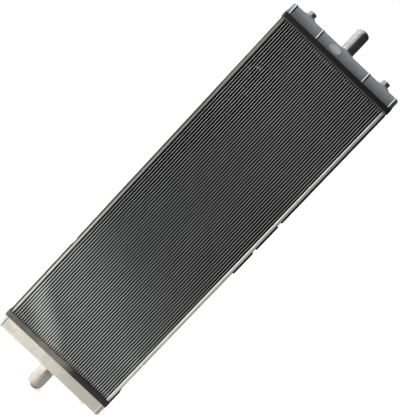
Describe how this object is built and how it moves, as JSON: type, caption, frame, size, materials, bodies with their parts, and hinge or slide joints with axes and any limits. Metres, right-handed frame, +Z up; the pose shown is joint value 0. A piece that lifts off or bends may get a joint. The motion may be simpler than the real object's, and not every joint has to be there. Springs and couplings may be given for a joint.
{
  "type": "hydraulic oil cooler",
  "caption": "Tall flat-tube and corrugated-fin oil cooler with a cast tank and a central round port at each end.",
  "frame": {"origin": "centre of the lower port's open end, under the middle of the cooler", "axes": "+Z up along the tubes towards the upper tank, +X across the core to its right seen from the front, -Y towards the front face"},
  "size_m": [0.381, 0.08, 1.33],
  "materials": {
    "tube_aluminium": "rolled flat tube, satin, thinly dusted with black paint",
    "fin_black": "black painted corrugated foil",
    "top_header_black": "semi-matt black paint over aluminium",
    "bottom_header_grey": "thin dark paint over aluminium, brownish grey",
    "top_tank_cast": "sand-cast, fine grain, mid grey",
    "bottom_tank_cast": "sand-cast, fine grain, bright warm grey",
    "top_port_tube": "turned, satin",
    "bottom_port_neck": "cast and turned, satin, warm grey",
    "pin_steel": "turned, satin",
    "side_plate_aluminium": "rolled channel, satin, warm grey",
    "seal_foam": "matt closed-cell sponge"
  },
  "bodies": {
    "root": {"bottom_header_plate": "bottom_header_grey", "bottom_left_mounting_pin": "pin_steel", "bottom_port": "bottom_port_neck", "bottom_right_mounting_pin": "pin_steel", "bottom_tank": "bottom_tank_cast", "fin_strip_01": "fin_black", "fin_strip_02": "fin_black", "fin_strip_03": "fin_black", "fin_strip_04": "fin_black", "fin_strip_05": "fin_black", "fin_strip_06": "fin_black", "fin_strip_07": "fin_black", "fin_strip_08": "fin_black", "fin_strip_09": "fin_black", "fin_strip_10": "fin_black", "fin_strip_11": "fin_black", "fin_strip_12": "fin_black", "fin_strip_13": "fin_black", "fin_strip_14": "fin_black", "fin_strip_15": "fin_black", "fin_strip_16": "fin_black", "fin_strip_17": "fin_black", "left_foam_seal_lower": "seal_foam", "left_foam_seal_upper": "seal_foam", "left_side_plate": "side_plate_aluminium", "right_foam_seal_foot": "seal_foam", "right_foam_seal_lower": "seal_foam", "right_foam_seal_middle": "seal_foam", "right_foam_seal_upper": "seal_foam", "right_side_plate": "side_plate_aluminium", "top_header_plate": "top_header_black", "top_left_mounting_pin": "pin_steel", "top_port": "top_port_tube", "top_right_mounting_pin": "pin_steel", "top_tank": "top_tank_cast", "tube_block_01": "tube_aluminium", "tube_block_02": "tube_aluminium", "tube_block_03": "tube_aluminium", "tube_block_04": "tube_aluminium", "tube_block_05": "tube_aluminium", "tube_block_06": "tube_aluminium", "tube_block_07": "tube_aluminium", "tube_block_08": "tube_aluminium", "tube_block_09": "tube_aluminium", "tube_block_10": "tube_aluminium", "tube_block_11": "tube_aluminium", "tube_block_12": "tube_aluminium", "tube_block_13": "tube_aluminium", "tube_block_14": "tube_aluminium", "tube_block_15": "tube_aluminium", "tube_block_16": "tube_aluminium"}
  },
  "joints": []
}
